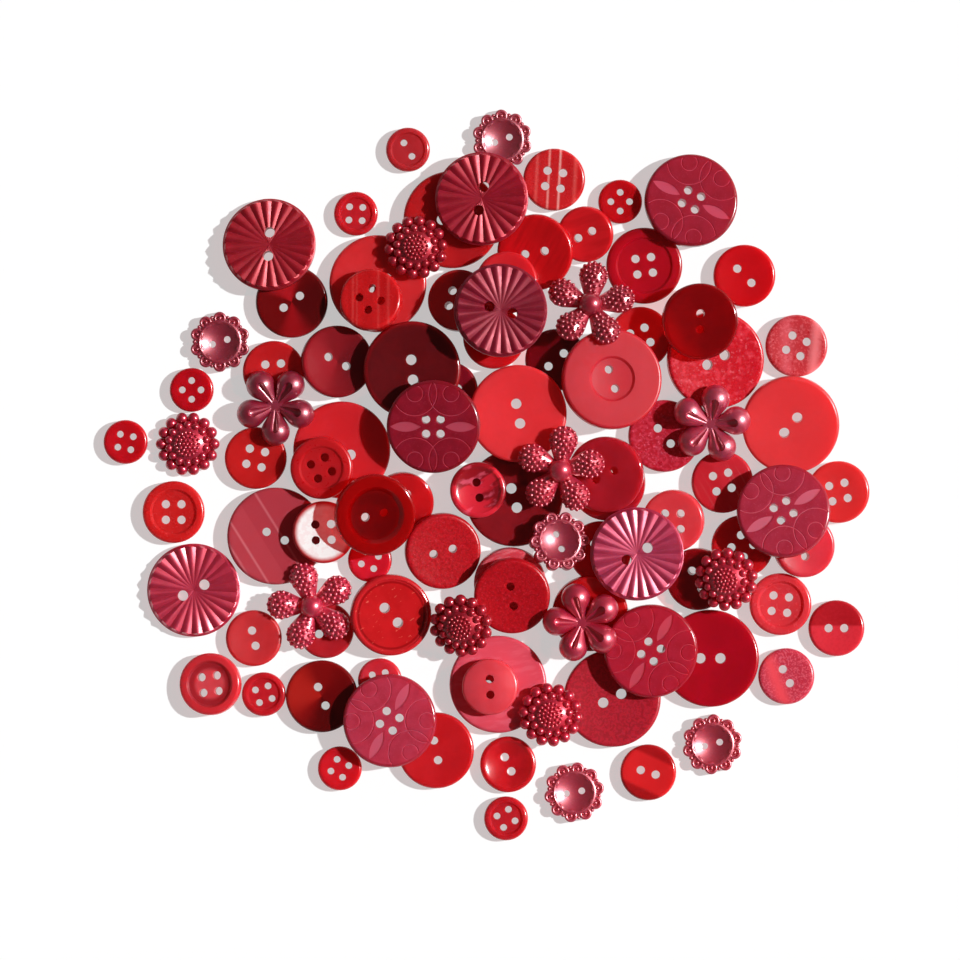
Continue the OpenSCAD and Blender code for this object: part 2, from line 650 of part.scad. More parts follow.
// Every button of a node, laid in its place
module laid_buttons(g) {
    for (b = LAID) if (b[0] == g[0]) {
        p = b[4];
        slope = norm([p[1], p[2]]);
        axis = slope > 0 ? [p[2], -p[1], 0] : [1, 0, 0];
        color(g[2]) translate([b[1] - middle[0], b[2] - middle[1], level(p, [b[1], b[2]])])
            rotate(a = atan(slope), v = axis) rotate(b[3]) button(g);
    }
}

for (g = GROUPS) laid_buttons(g);
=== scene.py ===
import math

import bmesh
import bpy
from mathutils import Euler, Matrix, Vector


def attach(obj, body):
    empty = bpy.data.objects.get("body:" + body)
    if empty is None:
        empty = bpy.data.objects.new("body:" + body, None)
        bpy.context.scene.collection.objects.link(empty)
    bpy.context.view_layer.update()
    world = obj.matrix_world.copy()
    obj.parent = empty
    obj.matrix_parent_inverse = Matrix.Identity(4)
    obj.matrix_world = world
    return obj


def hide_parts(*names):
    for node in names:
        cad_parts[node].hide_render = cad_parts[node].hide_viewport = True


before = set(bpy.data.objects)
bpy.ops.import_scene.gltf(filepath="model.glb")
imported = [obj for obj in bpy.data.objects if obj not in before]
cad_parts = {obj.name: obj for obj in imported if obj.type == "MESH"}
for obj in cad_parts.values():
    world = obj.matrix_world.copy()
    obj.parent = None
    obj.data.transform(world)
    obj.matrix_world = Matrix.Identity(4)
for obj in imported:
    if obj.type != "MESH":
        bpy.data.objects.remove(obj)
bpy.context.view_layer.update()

# Table, lamp and room
# The heap lies on a sheet of coated white board. A hard lamp stands low on the right of a dim room,
# whose walls are a little lighter than its ceiling.
MM = 0.001


def linear(hex_colour):
    """An sRGB hex value as a linear colour with alpha."""
    parts = [int(hex_colour[i : i + 2], 16) / 255 for i in (1, 3, 5)]
    return [c / 12.92 if c <= 0.04045 else ((c + 0.055) / 1.055) ** 2.4 for c in parts] + [1]


def add(tree, kind, inputs, **settings):
    """A node with its settings, its values and its links."""
    node = tree.nodes.new(kind)
    for name, value in settings.items():
        setattr(node, name, value)
    for name, value in inputs.items():
        if isinstance(value, bpy.types.NodeSocket):
            tree.links.new(value, node.inputs[name])
        else:
            node.inputs[name].default_value = value
    return node


# Coated board: matt and almost white, with a faint fibre that only shows close up.
FIBRE = 2
board_coat = bpy.data.materials.new("coated_white_board")
board_coat.use_nodes = True
tree = board_coat.node_tree
spot = add(tree, "ShaderNodeTexCoord", {}).outputs["Object"]
fibre = add(tree, "ShaderNodeTexNoise", {"Vector": spot, "Scale": 1 / (FIBRE * MM), "Detail": 2.0})
tone = add(
    tree,
    "ShaderNodeMix",
    {"Factor": fibre.outputs["Fac"], "A": linear("#FBFBFA"), "B": linear("#FEFEFE")},
    data_type="RGBA",
)
shader = tree.nodes["Principled BSDF"]
tree.links.new(tone.outputs["Result"], shader.inputs["Base Color"])
shader.inputs["Roughness"].default_value = 0.9
shader.inputs["Specular IOR Level"].default_value = 0.0
# The board is lit from below as well, which keeps its shadows pale. Only its own look takes this
# light, so that nothing on it is lit by it.
BELOW = 0.5
ray = add(tree, "ShaderNodeLightPath", {}).outputs
seen = add(
    tree,
    "ShaderNodeMath",
    {0: ray["Is Camera Ray"], 1: ray["Is Glossy Ray"]},
    operation="MAXIMUM",
)
seen = add(
    tree,
    "ShaderNodeMath",
    {0: seen.outputs[0], 1: ray["Is Transmission Ray"]},
    operation="MAXIMUM",
)
share = add(tree, "ShaderNodeMath", {0: seen.outputs[0], 1: BELOW}, operation="MULTIPLY")
panel = add(tree, "ShaderNodeEmission", {"Color": linear("#FFFFFF"), "Strength": 1.0})
both = add(
    tree,
    "ShaderNodeMixShader",
    {0: share.outputs[0], 1: shader.outputs["BSDF"], 2: panel.outputs["Emission"]},
)
tree.links.new(both.outputs[0], tree.nodes["Material Output"].inputs["Surface"])

# The sheet reaches past every view and lies a hair below the lowest button.
SHEET_REACH = 4
SHEET_DROP = 0.02
sheet = bmesh.new()
bmesh.ops.create_grid(sheet, x_segments=1, y_segments=1, size=SHEET_REACH)
board = bpy.data.objects.new("board", bpy.data.meshes.new("board"))
sheet.to_mesh(board.data)
sheet.free()
board.location.z = -SHEET_DROP * MM
board.data.materials.append(board_coat)
bpy.context.scene.collection.objects.link(board)

# A small hard lamp: degrees round from the right, degrees up, and degrees across.
LAMP_TURN = 10
LAMP_RISE = 39
LAMP_WIDTH = 1.5
LAMP_STRENGTH = 4.8
lamp = bpy.data.objects.new("lamp", bpy.data.lights.new("lamp", "SUN"))
lamp.data.energy = LAMP_STRENGTH
lamp.data.angle = math.radians(LAMP_WIDTH)
towards_lamp = Vector((1, 0, 0))
towards_lamp.rotate(Euler((0, -math.radians(LAMP_RISE), math.radians(LAMP_TURN))))
lamp.rotation_euler = (-towards_lamp).to_track_quat("-Z", "Y").to_euler()
bpy.context.scene.collection.objects.link(lamp)

# The room's light falls off from the walls to the ceiling.
WALL_LIGHT = 0.16
CEILING_LIGHT = 0.03
room = bpy.data.worlds.new("room")
room.use_nodes = True
bpy.context.scene.world = room
tree = room.node_tree
way = add(tree, "ShaderNodeTexCoord", {}).outputs["Generated"]
height = add(tree, "ShaderNodeSeparateXYZ", {"Vector": way}).outputs["Z"]
glow = add(
    tree,
    "ShaderNodeMapRange",
    {"Value": height, "To Min": WALL_LIGHT, "To Max": CEILING_LIGHT},
)
tree.links.new(glow.outputs["Result"], tree.nodes["Background"].inputs["Strength"])
tree.nodes["Background"].inputs["Color"].default_value = linear("#FFFFFF")

# Straight above the heap, through a long lens.
TABLE_SEEN = 240
CAMERA_HEIGHT = 1.5
SENSOR = 36
HEAP_MIDDLE = Vector((1.625, 1.26)) * MM
camera = bpy.data.objects.new("camera", bpy.data.cameras.new("camera"))
camera.location = (-HEAP_MIDDLE.x, -HEAP_MIDDLE.y, CAMERA_HEIGHT)
camera.data.sensor_width = SENSOR
camera.data.lens = SENSOR * CAMERA_HEIGHT / (TABLE_SEEN * MM)
bpy.context.scene.collection.objects.link(camera)
bpy.context.scene.camera = camera
bpy.context.scene.view_settings.view_transform = "Standard"

# Laying the buttons
# Each button is moulded in one, so it is one piece: a merged copy of its CAD solid with evenly
# smoothed faces. It carries its own measure, in millimetres from the middle of its underside.
WELD = 0.002
FACING_DOWN = -0.3
CREASE = 35


def separate(node):
    """The buttons of a CAD node, each in a bmesh of its own."""
    whole = bmesh.new()
    whole.from_mesh(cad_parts[node].data)
    bmesh.ops.remove_doubles(whole, verts=whole.verts, dist=WELD * MM)
    whole.verts.index_update()
    taken = set()
    for first in whole.verts:
        if first in taken:
            continue
        todo = [first]
        found = {first}
        while todo:
            vert = todo.pop()
            near = {edge.other_vert(vert) for edge in vert.link_edges} - found
            found |= near
            todo += near
        taken |= found
        keep = {v.index for v in found}
        button = whole.copy()
        button.verts.index_update()
        rest = [v for v in button.verts if v.index not in keep]
        bmesh.ops.delete(button, geom=rest, context="VERTS")
        yield button
    whole.free()


def measure(button):
    """Gives each vertex its place on the button, and returns the underside's middle."""
    faces = {}
    for face in button.faces:
        if face.normal.z < FACING_DOWN:
            faces.setdefault(face.normal.to_tuple(2), []).append(face)
    under = max(faces.values(), key=lambda some: sum(f.calc_area() for f in some))
    area = sum(f.calc_area() for f in under)
    middle = sum((f.calc_center_median() * f.calc_area() for f in under), Vector()) / area
    up = -sum((f.normal * f.calc_area() for f in under), Vector()).normalized()
    side = (Vector((1, 0, 0)) - up * up.x).normalized()
    away = up.cross(side)
    layer = button.verts.layers.float_vector.new("place")
    for vert in button.verts:
        step = (vert.co - middle) / MM
        vert[layer] = (step.dot(side), step.dot(away), step.dot(up))
    return middle


def lay(node, finishes, crease=CREASE):
    """Lays a node's buttons, with one finish for all or {(x, y) in the picture, in mm: finish}."""
    for button in list(separate(node)):
        at = measure(button)
        if isinstance(finishes, dict):
            plan = (at.xy + HEAP_MIDDLE) / MM
            x, y = min(finishes, key=lambda p: (Vector(p) - plan).length)
            name = f"{node}_{x:g}_{y:g}".replace("-", "m").replace(".", "p")
            finish = finishes[x, y]
        else:
            name = f"{node}_piece"
            finish = finishes
        for face in button.faces:
            face.smooth = True
        mesh = bpy.data.meshes.new(name)
        button.to_mesh(mesh)
        button.free()
        mesh.attributes.remove(mesh.attributes["custom_normal"])
        mesh.set_sharp_from_angle(angle=math.radians(crease))
        mesh.materials.append(finish)
        piece = bpy.data.objects.new(name, mesh)
        bpy.context.scene.collection.objects.link(piece)
        piece.modifiers.new("even_faces", "WEIGHTED_NORMAL").keep_sharp = True
        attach(piece, "root")
        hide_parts(node)


# Smallest plain buttons
# Shirt buttons cast in clear-lacquered polyester and turned: a soft gloss, with the colour a
# little uneven where the resin ran. Two or four sewing holes are drilled through.
SKIN_GRAIN = 1.2
SKIN_DEPTH = 0.3
RESIN_IOR = 1.54
LIGHT_REACH = 8


def cloud(tree, place, size, low=0.4, high=0.65, turn=0, draw=1):
    """A mask of clouds or, drawn out along a direction, of streaks of the given size in mm."""
    laid = add(
        tree,
        "ShaderNodeMapping",
        {"Vector": place, "Rotation": (0, 0, math.radians(turn)), "Scale": (draw, 1, 1)},
        vector_type="TEXTURE",
    )
    noise = add(
        tree,
        "ShaderNodeTexNoise",
        {"Vector": laid.outputs["Vector"], "Scale": 1 / size, "Detail": 3.0},
    )
    return add(
        tree,
        "ShaderNodeMapRange",
        {"Value": noise.outputs["Fac"], "From Min": low, "From Max": high},
        interpolation_type="SMOOTHSTEP",
    ).outputs["Result"]


def plastic(name, colour, layers, rough=0.22, peel=0.02, dye="#933838", **sockets):
    """Moulded plastic: a colour, with layers of (mask, its values, colour, strength) over it.

    The skin's fine unevenness, the peel, breaks up the gloss.
    """
    material = bpy.data.materials.new(name)
    material.use_nodes = True
    tree = material.node_tree
    shader = tree.nodes["Principled BSDF"]
    place = add(tree, "ShaderNodeAttribute", {}, attribute_name="place").outputs["Vector"]
    tint = linear(colour)
    for mask, values, over, strength in layers:
        share = add(
            tree,
            "ShaderNodeMath",
            {0: mask(tree, place, *values), 1: strength},
            operation="MULTIPLY",
        )
        tint = add(
            tree,
            "ShaderNodeMix",
            {"Factor": share.outputs[0], "A": tint, "B": linear(over)},
            data_type="RGBA",
        ).outputs["Result"]
    tree.links.new(tint, shader.inputs["Base Color"])
    skin = add(tree, "ShaderNodeTexNoise", {"Vector": place, "Scale": 1 / SKIN_GRAIN, "Detail": 4.0})
    bump = add(
        tree,
        "ShaderNodeBump",
        {"Height": skin.outputs["Fac"], "Strength": peel, "Distance": SKIN_DEPTH * MM},
    )
    tree.links.new(bump.outputs["Normal"], shader.inputs["Normal"])
    # Red light runs some millimetres through the resin, so shadows on it stay a deep red.
    sockets = {
        "subsurface_weight": 0.3,
        "subsurface_radius": (1.0, 0.1, 0.08),
        "subsurface_scale": LIGHT_REACH * MM,
        **sockets,
    }
    # The finish is a little duller on the high spots of the skin and glossier in between.
    wear = add(
        tree,
        "ShaderNodeMapRange",
        {"Value": skin.outputs["Fac"], "To Min": rough * 0.8, "To Max": rough * 1.3},
    )
    tree.links.new(wear.outputs["Result"], shader.inputs["Roughness"])
    shader.inputs["IOR"].default_value = RESIN_IOR
    for socket, value in sockets.items():
        shader.inputs[socket.replace("_", " ").title().replace("Ior", "IOR")].default_value = value
    # Lamp light also falls through the dyed resin, so a button's shadow is red and not black.
    struck = add(tree, "ShaderNodeLightPath", {}).outputs["Is Shadow Ray"]
    dyed = add(tree, "ShaderNodeBsdfTransparent", {"Color": linear(dye)})
    both = add(
        tree,
        "ShaderNodeMixShader",
        {0: struck, 1: shader.outputs["BSDF"], 2: dyed.outputs["BSDF"]},
    )
    tree.links.new(both.outputs[0], tree.nodes["Material Output"].inputs["Surface"])
    return material


def shirt(name, colour, deeper, **sockets):
    """Lacquered polyester: an even, glossy red that is deeper where the resin pooled."""
    return plastic(name, colour, [(cloud, (4,), deeper, 0.5)], subsurface_weight=0.6, **sockets)


lay("small_two_hole_button", shirt("rose_red_polyester", "#B4272E", "#A72126"))
lay(
    "small_four_hole_buttons",
    {
        (35, 69.5): shirt("scarlet_polyester", "#BB0813", "#A9060F"),
        (-72, 22.5): shirt("deep_scarlet_polyester", "#B60616", "#A20512"),
        (-88.5, 9.5): shirt("warm_scarlet_polyester", "#BE0C1A", "#AA0813"),
        (-27.5, -20): shirt("bright_scarlet_polyester", "#D4162B", "#C20F20"),
        (-35, -72): shirt("flame_polyester", "#D31623", "#BB0E17"),
        (-25, -50): shirt("pale_coral_polyester", "#CF2B39", "#BE1F2D"),
    },
)
lay("small_rimmed_buttons", shirt("lacquer_red_polyester", "#C31F29", "#AB131E", rough=0.16))


# Two-hole buttons of 14 mm
# Blouse buttons, thinner and slightly dished. Some are plain, some are cut from sheet with a
# pearly grain. On two of them a lighter or darker band across the face is a painted reflection.
def across(tree, place, turn, start, end):
    """A mask with a soft edge, from start to end along a direction in plan."""
    along = (math.cos(math.radians(turn)), math.sin(math.radians(turn)), 0)
    reach = add(tree, "ShaderNodeVectorMath", {0: place, 1: along}, operation="DOT_PRODUCT")
    return add(
        tree,
        "ShaderNodeMapRange",
        {"Value": reach.outputs["Value"], "From Min": start, "From Max": end},
        interpolation_type="SMOOTHSTEP",
    ).outputs["Result"]


def stripe(tree, place, turn, at, width):
    """A soft streak at a distance along a direction in plan: a streak of the grain, and on some faces a
    painted sheen.
    """
    rising = across(tree, place, turn, at - width, at)
    falling = across(tree, place, turn, at + width, at)
    return add(tree, "ShaderNodeMath", {0: rising, 1: falling}, operation="MULTIPLY").outputs[0]


lay(
    "two_hole_buttons_14",
    {
        # Streaks of deeper resin run across the face.
        (26.5, 61.5): plastic(
            "streaked_red_polyester", "#CF1921", [(cloud, (2.5, 0.4, 0.7, 20, 4), "#B30E15", 0.6)]
        ),
        (-56.5, -39.5): shirt("matt_red_nylon", "#C82229", "#BB1B22", rough=0.45),
        # Painted reflection: the upper half is painted a deeper red, so the lower half reads as a pale
        # reflection across it.
        (89, -37): plastic(
            "crimson_painted_reflection_half",
            "#DE2E3C",
            [(across, (90, 0.3, 1.0), "#AF131E", 0.95), (cloud, (0.8, 0.4, 0.7), "#C8202E", 0.3)],
        ),
        # Glossy sheet. Painted reflection: a deep band is painted on either side, so a bright reflection
        # runs down the middle.
        (42, -73): plastic(
            "glossy_red_painted_reflection_band",
            "#D62125",
            [(across, (65, 3.4, 4.6), "#A21217", 0.9), (across, (245, 3.6, 4.8), "#9C1015", 0.9)],
            rough=0.16,
        ),
        (-38.5, -37.5): shirt("shaded_red_polyester", "#B71E28", "#A7151F"),
        (-7.5, 22.5): shirt("shaded_crimson_polyester", "#7C091D", "#6A0515"),
    },
)
# Casein: deep veins and pale clouds under a soft polish.
lay(
    "marble_button",
    plastic(
        "marbled_red_casein",
        "#DA2134",
        [
            (cloud, (4, 0.48, 0.58, 30, 2.5), "#8C0614", 0.9),
            (cloud, (2, 0.55, 0.7, 30, 2), "#F0607A", 0.6),
        ],
        rough=0.2,
        coat_weight=0.5,
        coat_roughness=0.3,
    ),
)
lay("coral_dome_button", shirt("coral_urea", "#DF424E", "#D33641", rough=0.3))
# Ground pearl mottles the resin, and one smooth band crosses it.
lay(
    "pearl_button_14",
    plastic(
        "mottled_rose_pearl",
        "#C42C42",
        [(cloud, (0.45, 0.45, 0.62), "#F07486", 0.5), (stripe, (20, -2.7, 2.8), "#F04854", 0.95)],
        peel=0.1,
        rough=0.3,
    ),
)
# A wet-looking lacquer gathers a broad light in the dish.
lay(
    "glossy_dish_button",
    shirt(
        "wet_look_red_polyester",
        "#CF141F",
        "#AA0A12",
        rough=0.2,
        coat_weight=0.6,
        coat_roughness=0.25,
    ),
)


# Buttons of 15.5 mm
# Cardigan buttons: plain, striped like shell, pearly, rimmed or clear. One has a face of white
# pearl that was printed on red.
def outwards(tree, place, start, end):
    """A soft ring edge, from start to end out from the middle."""
    flat = add(tree, "ShaderNodeVectorMath", {0: place, 1: (1, 1, 0)}, operation="MULTIPLY")
    reach = add(tree, "ShaderNodeVectorMath", {0: flat.outputs["Vector"]}, operation="LENGTH")
    return add(
        tree,
        "ShaderNodeMapRange",
        {"Value": reach.outputs["Value"], "From Min": start, "From Max": end},
        interpolation_type="SMOOTHSTEP",
    ).outputs["Result"]


def sunk(tree, place, top, bottom):
    """What lies below the face, from top to bottom."""
    height = add(tree, "ShaderNodeSeparateXYZ", {"Vector": place}).outputs["Z"]
    return add(
        tree, "ShaderNodeMapRange", {"Value": height, "From Min": top, "From Max": bottom}
    ).outputs["Result"]


def knit(name, colour, deeper, layers=(), **sockets):
    """Knitwear polyester: soft clouds and a fine grain of a deeper red."""
    grain = [(cloud, (6,), deeper, 0.4), (cloud, (1.2, 0.4, 0.7), deeper, 0.2)]
    return plastic(name, colour, [*grain, *layers], subsurface_weight=0.6, **sockets)


# Cut across layered sheet, so pale lines run from edge to edge.
lay(
    "striped_buttons",
    {
        (18.5, 75): plastic(
            "shell_striped_red",
            "#C51F23",
            [
                (cloud, (3, 0.4, 0.6, 87, 10), "#B4161C", 0.5),
                (stripe, (-3, -1.4, 0.5), "#F0908A", 0.8),
                (stripe, (-3, 1.3, 0.5), "#F4A09A", 0.9),
                (stripe, (-3, -4.4, 0.7), "#DE5A56", 0.6),
                (stripe, (-3, 5.2, 0.8), "#DE5A56", 0.6),
            ],
            rough=0.25,
        ),
        (-27, 44.5): plastic(
            "faint_striped_red",
            "#CB181C",
            [
                (cloud, (3, 0.4, 0.6, 90, 8), "#AF0C10", 0.5),
                (stripe, (0, -4.3, 0.5), "#DE4A48", 0.45),
                (stripe, (0, -3.3, 0.4), "#DE4A48", 0.4),
                (stripe, (0, 2.1, 0.5), "#DE4A48", 0.4),
                (stripe, (0, 4.6, 0.6), "#DE4A48", 0.45),
            ],
            rough=0.25,
        ),
    },
)
lay(
    "two_hole_buttons_16",
    {
        (66, 51): knit("cherry_polyester", "#CA0B16", "#BC0812"),
        (80.5, -16.5): knit(
            "poppy_polyester", "#D73242", "#C22130", [(across, (180, 0, 7), "#BF1B29", 0.5)]
        ),
        (30, -18): knit("red_resin", "#C4161C", "#AE1016"),
        (3.5, 35.5): knit("hidden_cherry_polyester", "#C4141C", "#B20E14"),
        (6.5, 49): knit("tomato_polyester", "#C91A24", "#BA131C"),
    },
)
# Pearl that lies in waves, with a grain in them. Its two pale bands are a painted sheen.
lay(
    "pearl_four_hole_button",
    plastic(
        "pink_sheen_pearl",
        "#C22E36",
        [
            (stripe, (0, -2.6, 2.6), "#E05A64", 0.7),
            (stripe, (-6, 4.7, 2.2), "#FA8488", 0.85),
            (cloud, (0.6, 0.5, 0.62), "#EE8088", 0.35),
        ],
        peel=0.08,
        rough=0.28,
    ),
)
lay(
    "four_hole_buttons_16",
    {
        (89.5, -3): knit("signal_red_polyester", "#DD2F31", "#D22628"),
        # Fine slanting streaks, and deeper towards one side.
        (60.5, -0.5): plastic(
            "split_striped_red",
            "#C72633",
            [
                (cloud, (1.5, 0.55, 0.68, 120, 12), "#D5575B", 0.5),
                (across, (210, -1, 2), "#B1121E", 0.6),
            ],
        ),
        (65.5, -16.5): knit("blood_red_polyester", "#C81018", "#AC0A10"),
        (40, 35.5): knit("ruby_polyester", "#C81A20", "#B21016"),
        (-56, 5.5): knit("pillar_red_polyester", "#C11B1C", "#B11517"),
        (-51.5, 27): knit("glossy_red_polyester", "#C01F23", "#B01418", rough=0.14),
        (-5, 44.5): knit("brick_red_polyester", "#C42226", "#AE161A"),
    },
)
lay("coral_four_hole_button", knit("coral_polyester", "#E7444C", "#DA3843"))
lay("raised_rim_button", knit("soft_red_urea", "#BB131B", "#AD0D13", rough=0.28))
# A white pearl print. The rim and the holes show the red body.
lay(
    "white_face_button",
    plastic(
        "white_pearl_on_red",
        "#F6EDEC",
        [
            (cloud, (1.2, 0.45, 0.6), "#F2D8D8", 0.6),
            (outwards, (6.0, 7.4), "#C8141C", 1.0),
            (sunk, (2.2, 1.8), "#C01018", 1.0),
        ],
        rough=0.3,
        subsurface_weight=0.0,
    ),
)
lay(
    "rimmed_buttons_16",
    {
        # The wall of the dish lies in shade round a pale middle.
        (-67, -51): knit(
            "cup_red_polyester",
            "#ED4C56",
            "#DD3E49",
            [(outwards, (3.0, 4.4), "#9B1521", 0.85), (outwards, (5.4, 6.2), "#D8313B", 0.9)],
        ),
        (75, -31): knit("orange_red_polyester", "#DE3640", "#D22D37", rough=0.25),
        (-76.5, -8): knit("vermilion_polyester", "#CC1F20", "#C01A1C", rough=0.25),
    },
)


# Clear buttons
# Cast in clear resin that was dyed through: light goes in at the top and comes out at the rim,
# so the middle is dark and the edge glows.
def clear(name, colour, deeper, layers=()):
    """Dyed clear resin: glossy and deep, as light goes far into it."""
    return plastic(
        name,
        colour,
        [(cloud, (5,), deeper, 0.5), *layers],
        rough=0.1,
        peel=0.01,
        dye="#D36161",
        transmission_weight=0.2,
        subsurface_weight=0.8,
    )


lay(
    "translucent_buttons_16",
    {
        (19, 30): clear("dark_crimson_resin", "#790611", "#60040B"),
        (-19.5, -5.5): clear("red_glass_resin", "#C3171E", "#A80D14"),
        (54.5, -24.5): clear("black_cherry_resin", "#9B0712", "#7F040B"),
    },
)
# Brighter on the side where light leaves the resin.
lay(
    "garnet_button",
    clear("garnet_resin", "#880408", "#700306", [(across, (215, 3, 9), "#AC0408", 0.9)]),
)
lay("clear_buttons_19", clear("wine_resin", "#BB1E2F", "#A41524"))
# The rim of the cup is thick and glows.
lay(
    "clear_cup_button",
    clear("smoked_garnet_resin", "#740103", "#600102", [(outwards, (5, 7.5), "#A20203", 0.8)]),
)
# Seams of the resin slant across a rose ground, and their pale colour is a painted glint along each.
# The ground is a little deeper on one side of a line across it.
lay(
    "large_clear_button",
    plastic(
        "rose_striped_resin",
        "#B73E49",
        [
            (across, (32, -3.4, -3.0), "#AC3440", 0.6),
            (stripe, (32, -7.7, 0.5), "#D87A82", 0.6),
            (stripe, (32, 1.3, 0.5), "#D87A82", 0.5),
            (stripe, (32, -11, 0.5), "#D87A82", 0.5),
        ],
        rough=0.16,
    ),
)


# Jacket buttons of 18 to 20 mm
# Turned from polyester rod or sheet. The sheet ones have a pearly grain, and the broad bands on
# the dark sheets are painted sheens and painted shade. The speckled ones have ground mica stirred
# into the resin.
def painted_light_wedge(tree, place, turn, half):
    """A wedge that widens from the middle towards a direction in plan, where a turned face gets a
    painted sheen, and where it gets painted shade.
    """
    along = (math.cos(math.radians(turn)), math.sin(math.radians(turn)), 0)
    flat = add(tree, "ShaderNodeVectorMath", {0: place, 1: (1, 1, 0)}, operation="MULTIPLY")
    way = add(tree, "ShaderNodeVectorMath", {0: flat.outputs["Vector"]}, operation="NORMALIZE")
    reach = add(
        tree, "ShaderNodeVectorMath", {0: way.outputs["Vector"], 1: along}, operation="DOT_PRODUCT"
    )
    return add(
        tree,
        "ShaderNodeMapRange",
        {"Value": reach.outputs["Value"], "From Min": math.cos(math.radians(half))},
        interpolation_type="SMOOTHSTEP",
    ).outputs["Result"]


def flakes(tree, place, size, share):
    """Flakes of mica of the given size, that cover a share of the face."""
    cells = add(tree, "ShaderNodeTexVoronoi", {"Vector": place, "Scale": 1 / size})
    luck = add(tree, "ShaderNodeSeparateColor", {"Color": cells.outputs["Color"]}).outputs["Red"]
    return add(
        tree, "ShaderNodeMapRange", {"Value": luck, "From Min": 1 - share, "From Max": 1.0}
    ).outputs["Result"]


def turned(name, colour, painted_sheens_and_shades):
    """Dark sheet turned on a lathe, with wedges of painted sheen and painted shade as (direction, half
    width, colour).
    """
    layers = [(painted_light_wedge, (turn, half), sheen, 0.9) for turn, half, sheen in painted_sheens_and_shades]
    return plastic(name, colour, layers, rough=0.18)


lay(
    "two_hole_buttons_19",
    {
        (-11, -67.5): knit("deep_red_polyester", "#C71921", "#B30F17"),
        # Short streaks, like the grain of wood.
        (14, 57): plastic(
            "streaked_deep_red",
            "#C70B14",
            [(cloud, (1.2, 0.4, 0.7, 60, 8), "#A0050B", 0.6), (cloud, (5,), "#B6090E", 0.5)],
        ),
        (27.5, -33): knit("shaded_deep_red", "#C41218", "#AE0C10"),
    },
)
# Painted light: each dark sheet carries painted sheens and painted shade in wedges across its face.
lay(
    "dark_red_buttons_19",
    {
        (-47, 44.5): turned(
            "ox_blood_sheet", "#690608", [(115, 55, "#AE161F"), (-80, 40, "#980F16"), (0, 85, "#500608")]
        ),
        (-36, 29.5): turned("crimson_sheet", "#7C0F18", [(190, 90, "#9C1722"), (0, 90, "#640E16")]),
        (-39.5, -54): turned(
            "dark_sheet", "#7E090A", [(165, 65, "#AC1E18"), (285, 60, "#4E0405"), (5, 75, "#660406")]
        ),
    },
)
lay(
    "ring_button_19",
    knit("ringed_crimson_polyester", "#B2081C", "#A00516", [(outwards, (7.6, 9), "#8E0410", 0.5)]),
)
# Crushed pearl: pale clouds, with flakes that catch the light.
lay(
    "pearl_buttons_18",
    {
        (46, 11): plastic(
            "ruby_pearl_sheet",
            "#AE1227",
            [(cloud, (0.9, 0.45, 0.62), "#CE3850", 0.6), (flakes, (0.35, 0.12), "#E86C88", 0.5)],
            peel=0.12,
            rough=0.28,
        ),
        (7.5, -25.5): plastic(
            "pink_pearl_sheet",
            "#D23C4A",
            [(cloud, (1.0, 0.45, 0.62, 20, 5), "#E87A84", 0.6)],
            rough=0.28,
        ),
    },
)
# Ground mica: specks deeper and paler than the resin, under a rough skin.
lay(
    "speckled_buttons",
    plastic(
        "mica_red_polyester",
        "#B90818",
        [(cloud, (0.7, 0.42, 0.6), "#9A030D", 0.6), (cloud, (0.4, 0.56, 0.68), "#DC3444", 0.45)],
        peel=0.3,
        rough=0.3,
    ),
)
# A deep groove runs round the face, painted a deeper red as the shade in it, and pale chips float in the
# resin.
lay(
    "edge_ring_button",
    plastic(
        "ringed_red_resin",
        "#C3171C",
        [
            (cloud, (4,), "#B11013", 0.5),
            (outwards, (7.9, 8.2), "#92060B", 0.9),
            (outwards, (8.4, 8.8), "#C51E25", 0.9),
            (cloud, (0.6, 0.65, 0.72, 35, 3), "#E86A5A", 0.6),
        ],
        rough=0.18,
    ),
)

# Coat buttons of 24 to 25 mm
# Thick polyester discs, cast in one colour or with ground pearl, and turned. Most are dished a
# little so that the thread lies below the face, and sewn through two holes.
lay(
    "large_red_buttons",
    {
        (-25.5, 49): knit("coat_red_polyester", "#D42D32", "#C62227"),
        (-7, 65): knit("coat_crimson_polyester", "#B7181C", "#A61017"),
        (-34.5, 7.5): knit("coat_scarlet_polyester", "#D2232B", "#C61B22"),
    },
)
lay(
    "large_dark_buttons",
    {
        (8.5, -4.5): knit("coat_wine_polyester", "#8A121B", "#740A13"),
        (57.5, -44.5): knit("coat_ruby_polyester", "#AF031B", "#970215"),
        # Painted glow: the rim is painted a brighter red, as light coming out at its edge.
        (-17, 27.5): knit(
            "coat_maroon_polyester", "#62090F", "#50050A", [(outwards, (10.6, 12), "#930911", 0.7)]
        ),
    },
)
lay(
    "large_bright_buttons",
    {
        (77.5, 14): knit("coat_poppy_polyester", "#E7373C", "#DF2F34", rough=0.3),
        (9.5, 16.5): knit("coat_tomato_polyester", "#E63037", "#DC282E", rough=0.3),
    },
)
lay(
    "stepped_coral_button",
    knit(
        "frosted_coral_polyester",
        "#C72533",
        "#BE1F2C",
        [(outwards, (8, 11), "#BC1E2A", 0.4)],
        rough=0.35,
    ),
)
# One with coarse crushed pearl and one with fine, under an uneven skin.
lay(
    "large_pearl_buttons",
    {
        (58.5, 30): plastic(
            "crushed_pearl_red",
            "#C40E20",
            [(cloud, (1.8, 0.5, 0.62), "#E03A4A", 0.6), (flakes, (0.4, 0.1), "#F07884", 0.45)],
            peel=0.12,
            rough=0.26,
        ),
        (33, -54.5): plastic(
            "fine_pearl_crimson",
            "#B81A2E",
            [(cloud, (0.6, 0.42, 0.58), "#960C1C", 0.7)],
            peel=0.14,
            rough=0.34,
        ),
    },
)
